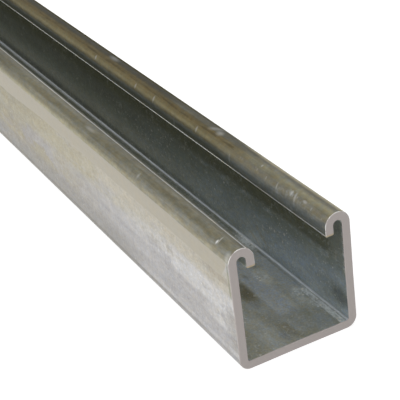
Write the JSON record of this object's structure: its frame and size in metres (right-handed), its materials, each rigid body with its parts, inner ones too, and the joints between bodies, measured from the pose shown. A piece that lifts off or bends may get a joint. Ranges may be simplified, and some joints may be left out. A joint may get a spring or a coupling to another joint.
{
  "type": "metal channel section",
  "caption": "Square galvanised steel framing channel, open on one side, with both edges turned over and down inside the mouth to hold channel nuts.",
  "frame": {"origin": "middle of the closed back's underside, half way along the stock", "axes": "+X along the stock, +Y across it, +Z from the closed back to the open mouth"},
  "size_m": [3, 0.0412, 0.0413],
  "materials": {
    "galvanised_steel": "weathered zinc coat, satin grey with olive and blue-grey mottling, bare sawn ends"
  },
  "bodies": {
    "root": {"channel": "galvanised_steel"}
  },
  "joints": []
}
